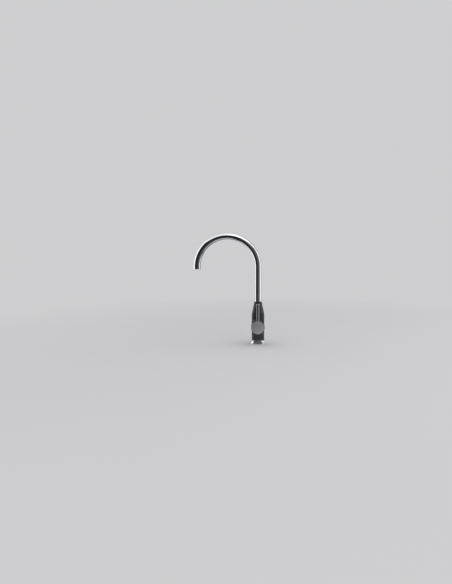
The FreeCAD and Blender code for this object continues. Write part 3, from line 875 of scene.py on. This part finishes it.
class TAP_OT_clamp(bpy.types.Operator):
    """Make the threaded shank, the nut and the two washers under the worktop"""

    bl_idname = "tap.clamp"
    bl_label = "Shank, nut and washers"

    def execute(self, context):
        sizes = context.scene.tap_sizes
        shank = threaded_shank(sizes)
        piece("threaded_shank", shank, "tap", "brass", "mounting_shank", weighted=False)
        nut = merged_copy("backnut", sizes.edge_round)
        piece("hexagon_nut", nut, "clamp", "brass", "backnut")
        for name, slot, node in (
            ("rubber_washer", "black_rubber", "deck_washer"),
            ("plain_washer", "steel", "clamp_washer"),
        ):
            piece(name, washer(sizes, node), "clamp", slot, node)
        return {"FINISHED"}


def washer(sizes, node):
    """Flat ring whose edges are rounded by at most a quarter of its thickness."""
    low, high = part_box(node)
    edge = min(sizes.edge_round, (high.z - low.z) / 4)
    return turned((
        (WASHER_BORE, low.z, edge), (high.x, low.z, edge), (high.x, high.z, edge),
        (WASHER_BORE, high.z, edge),
    ))


def threaded_shank(sizes):
    """Hollow shank whose lower length carries a thread."""
    low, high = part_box("mounting_shank")
    body_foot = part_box("tap_body")[0].z
    pitch = sizes.thread_pitch
    rows = round((SPIGOT_FOOT - low.z) / pitch * THREAD_ROWS)
    threaded = [
        (SHANK_CREST, low.z + (SPIGOT_FOOT - low.z) * row / rows) for row in range(rows + 1)
    ]
    upper = [
        (high.x, SPIGOT_FOOT), (high.x, body_foot), (SHANK_TOP_RADIUS, body_foot),
        (SHANK_TOP_RADIUS, high.z), (SHANK_BORE, high.z), (SHANK_BORE, low.z),
    ]
    mesh = turned(threaded + upper, steps=THREAD_STEPS)
    for vert in mesh.verts:
        if abs(vert.co.xy.length - SHANK_CREST) < MERGE:
            turns = vert.co.z / pitch - math.atan2(vert.co.y, vert.co.x) / FULL_TURN
            rise = abs((turns % 1) * 2 - 1)
            groove = max(0.0, min(1.0, GROOVE_SLOPE * rise - GROOVE_CREST))
            run_in = min(1.0, (vert.co.z - low.z) / pitch, (SPIGOT_FOOT - vert.co.z) / pitch)
            depth = sizes.thread_depth * groove * max(run_in, LEAST_RUN_IN)
            vert.co.xy *= 1 - depth / SHANK_CREST
    return mesh


class TAP_OT_screws(bpy.types.Operator):
    """Make the two headless screws with their six-sided sockets"""

    bl_idname = "tap.screws"
    bl_label = "Screws"

    def execute(self, context):
        sizes = context.scene.tap_sizes
        piece("hub_screw", hub_screw(sizes), "handle", "steel", "hub_grub_screw")
        piece("catch_screw", catch_screw(sizes), "tap", "steel", "spout_grub_screw")
        return {"FINISHED"}


def hub_screw(sizes):
    """Screw that clamps the hub, upright, with its socket below."""
    low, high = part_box("hub_grub_screw")
    edge = sizes.edge_round
    tip = high.z - low.z
    outline = ((0, 0), (high.x, 0, edge), (high.x, tip, edge), (0, tip))
    return socket_screw(outline, Matrix.Translation((0, (low.y + high.y) / 2, low.z)))


def catch_screw(sizes):
    """Screw with a thin tip that reaches into the spout's tail from the body's side."""
    low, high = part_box("spout_grub_screw")
    edge = sizes.edge_round
    shoulder = high.x - CATCH_SHOULDER
    tip = high.x - low.x
    outline = (
        (0, 0), (high.y, 0, edge), (high.y, shoulder), (CATCH_TIP_RADIUS, shoulder),
        (CATCH_TIP_RADIUS, tip, edge), (0, tip),
    )
    inwards = Matrix.Rotation(-math.pi / 2, 4, "Y")
    return socket_screw(outline, Matrix.Translation((high.x, 0, (low.z + high.z) / 2)) @ inwards)


def socket_screw(outline, place):
    """Headless screw with a six-sided socket in its first end, moved to its place."""
    screw = turned(outline, closed=False, steps=SCREW_STEPS)
    floor = Vector((0, 0, SOCKET_DEPTH))
    socket = cylinder(SOCKET_SIZE / math.sqrt(3), -floor, floor, steps=HEXAGON)
    return moved(cut(screw, socket), place)


class TAP_OT_mouth(bpy.types.Operator):
    """Make the aerator's cup and its honeycomb screen in the spout's mouth"""

    bl_idname = "tap.mouth"
    bl_label = "Mouth"

    def execute(self, context):
        sizes = context.scene.tap_sizes
        cup = moved(stream_cup(sizes), in_mouth)
        piece("stream_cup", cup, "spout", "polished_chrome", "aerator_housing")
        screen = moved(honeycomb(sizes), in_mouth)
        piece(
            "stream_screen", screen, "spout", "cartridge_plastic", "aerator_insert",
            weighted=False,
        )
        return {"FINISHED"}


def stream_cup(sizes):
    """Cup with a lip below that holds the screen, centred on the Z axis."""
    low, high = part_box("aerator_housing")
    bore = high.y - CUP_WALL
    mouth = bore - CUP_LIP
    shelf = low.z + CUP_LIP
    edge = sizes.edge_round
    return turned((
        (mouth, low.z, edge), (high.y, low.z, edge), (high.y, high.z), (bore, high.z),
        (bore, shelf), (mouth, shelf, edge),
    ))


def honeycomb(sizes):
    """Disc with a solid rim and six-sided cells right through it, centred on the Z axis."""
    low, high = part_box("aerator_insert")
    radius = high.y
    pitch = sizes.cell_pitch
    cell = (pitch - pitch * CELL_WALL_SHARE) / math.sqrt(3)
    cells = bmesh.new()
    rows = math.ceil(radius / pitch) + 1
    for row in range(-rows, rows + 1):
        for column in range(-rows, rows + 1):
            x = (column + (row % 2) / 2) * pitch
            y = row * pitch * math.sqrt(3) / 2
            if math.hypot(x, y) > radius - SCREEN_RIM:
                continue
            bmesh.ops.create_cone(
                cells, cap_ends=True, segments=HEXAGON, radius1=cell, radius2=cell,
                depth=(high.z - low.z) * CELL_CUTTER_LENGTH,
                matrix=Matrix.Translation((x, y, (low.z + high.z) / 2)),
            )
    below, above = Vector((0, 0, low.z)), Vector((0, 0, high.z))
    core = cylinder(radius - SCREEN_RIM, below - above + below, above - below + above)
    return cut(cylinder(radius, below, above), cut(cells, core, operation="INTERSECT"))


class TAP_OT_inner(bpy.types.Operator):
    """Give every CAD piece that stays its finish"""

    bl_idname = "tap.inner"
    bl_label = "Inner pieces"

    def execute(self, context):
        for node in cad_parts.values():
            if node.hide_render:
                continue
            for slot in node.material_slots:
                slot.material = finish_for(slot.material.name.split(".")[0])
        return {"FINISHED"}


class TAP_OT_stage(bpy.types.Operator):
    """Make the pale floor, the soft light, the cards that the metal mirrors and the camera"""

    bl_idname = "tap.stage"
    bl_label = "Stage"

    def execute(self, context):
        settings = context.scene.tap_stage
        make_floor(settings)
        make_world(settings)
        make_lights(settings)
        make_cards()
        make_camera()
        context.scene.view_settings.view_transform = "Standard"
        return {"FINISHED"}


def make_floor(settings):
    """Round floor that fades into the surround, and is see-through from below."""
    material, finish = new_finish("floor_paint")
    across, along, _ = finish.axes()
    distance = (across * across + along * along) ** 0.5
    faded = finish.rise(distance * (1 / FLOOR_RADIUS), FADE_START, FADE_END)
    unseen = faded.maximum(finish.signal("ShaderNodeNewGeometry", "Backfacing"))
    mottle = finish.noise(scale=3.0, detail=2.0)
    paint = finish.paint(
        Base_Color=finish.blend(mottle, settings.floor, shade(settings.floor, factor=1.02)),
        Roughness=1.0, Specular_IOR_Level=0.0,
    )
    clear = finish.signal("ShaderNodeBsdfTransparent", 0)
    finish.output(finish.signal("ShaderNodeMixShader", 0, sockets={0: unseen, 1: paint, 2: clear}))
    mesh = bmesh.new()
    bmesh.ops.create_circle(mesh, cap_ends=True, segments=FLOOR_STEPS, radius=FLOOR_RADIUS)
    mesh_object("floor", mesh, material)


def make_world(settings):
    """Even light from all round. The surround that the camera and metal see is pale."""
    world = bpy.data.worlds.new("surround")
    bpy.context.scene.world = world
    world.use_nodes = True
    finish = Finish(world.node_tree)
    path = finish.node("ShaderNodeLightPath")
    camera, glossy, passed = (
        Signal(finish, path.outputs[name])
        for name in ("Is Camera Ray", "Is Glossy Ray", "Is Transmission Ray")
    )
    seen = camera.maximum(glossy).maximum(passed)
    light = finish.signal(
        "ShaderNodeBackground", 0,
        sockets={
            "Color": (*settings.surround, 1.0),
            "Strength": finish.between(seen, settings.fill, 1.0),
        },
    )
    finish.output(light, "ShaderNodeOutputWorld")


def make_lights(settings):
    """Soft key from the front right, a tall strip on each side and a light overhead."""
    for name, place, size, share, aim in LAMPS:
        data = bpy.data.lights.new(name, "AREA")
        data.shape = "RECTANGLE"
        data.size, data.size_y = size
        data.energy = settings.key * share
        lamp = linked(name, data)
        lamp.visible_camera = False
        lamp.location = place
        way = Vector((mouth_x / 2, 0, aim)) - lamp.location
        lamp.rotation_euler = way.to_track_quat("-Z", "Y").to_euler()


def make_cards():
    """Cards that give the metal something to mirror: dark ones for the tube's core and edges,
    a bright one for its left line, and low ones for the lever and the foot ring."""
    for name, first, last, line, grey in CARDS:
        material, finish = new_finish(name + "_paint")
        finish.output(finish.paint(
            Base_Color=(0.0, 0.0, 0.0, 1.0), Roughness=1.0,
            Emission_Color=(grey, grey, grey, 1.0), Emission_Strength=1.0,
        ))
        mesh = spun(
            line, start=math.radians(first), angle=math.radians(last - first), steps=CARD_STEPS
        )
        card = mesh_object(name, mesh, material)
        card.visible_camera = card.visible_diffuse = card.visible_shadow = False


def make_camera():
    """Camera level with the bend's top, in front of the hub."""
    data = bpy.data.cameras.new("camera")
    camera = linked("camera", data)
    bpy.context.scene.camera = camera
    focus = (DECK_ROW - EYE_ROW) * CAMERA_DISTANCE / EYE_HEIGHT
    data.sensor_width = SENSOR_WIDTH
    data.lens = focus * SENSOR_WIDTH / IMAGE_HEIGHT
    camera.location = (CAMERA_X, -CAMERA_DISTANCE, EYE_HEIGHT)
    camera.rotation_euler = (math.pi / 2, 0, 0)
    axis_column = IMAGE_WIDTH / 2 - CAMERA_X / CAMERA_DISTANCE * focus
    data.shift_x = (axis_column - AXIS_COLUMN) / IMAGE_HEIGHT
    data.shift_y = (EYE_ROW - IMAGE_HEIGHT / 2) / IMAGE_HEIGHT


class TAP_PT_panel(bpy.types.Panel):
    """Sidebar panel with the tap's sizes, colours and pieces"""

    bl_idname = "TAP_PT_panel"
    bl_label = "Gooseneck tap"
    bl_space_type = "VIEW_3D"
    bl_region_type = "UI"
    bl_category = "Tap"

    def draw(self, context):
        scene = context.scene
        for group in (scene.tap_sizes, scene.tap_colours, scene.tap_stage):
            box = self.layout.box()
            for name in group.bl_rna.properties.keys():
                if name not in ("rna_type", "name"):
                    box.prop(group, name)
        for operator in OPERATORS:
            self.layout.operator(operator.bl_idname)


OPERATORS = (
    TAP_OT_spout, TAP_OT_mouth, TAP_OT_body, TAP_OT_foot, TAP_OT_handle, TAP_OT_screws,
    TAP_OT_clamp, TAP_OT_inner, TAP_OT_stage,
)
CLASSES = (TapSizes, TapColours, StageSettings) + OPERATORS + (TAP_PT_panel,)


def register():
    for part in CLASSES:
        bpy.utils.register_class(part)
    bpy.types.Scene.tap_sizes = bpy.props.PointerProperty(type=TapSizes)
    bpy.types.Scene.tap_colours = bpy.props.PointerProperty(type=TapColours)
    bpy.types.Scene.tap_stage = bpy.props.PointerProperty(type=StageSettings)


def unregister():
    del bpy.types.Scene.tap_stage
    del bpy.types.Scene.tap_colours
    del bpy.types.Scene.tap_sizes
    for part in reversed(CLASSES):
        bpy.utils.unregister_class(part)


def main():
    register()
    bpy.ops.tap.spout()
    bpy.ops.tap.mouth()
    bpy.ops.tap.body()
    bpy.ops.tap.foot()
    bpy.ops.tap.handle()
    bpy.ops.tap.screws()
    bpy.ops.tap.clamp()
    bpy.ops.tap.inner()
    bpy.ops.tap.stage()


if __name__ == "__main__":
    main()
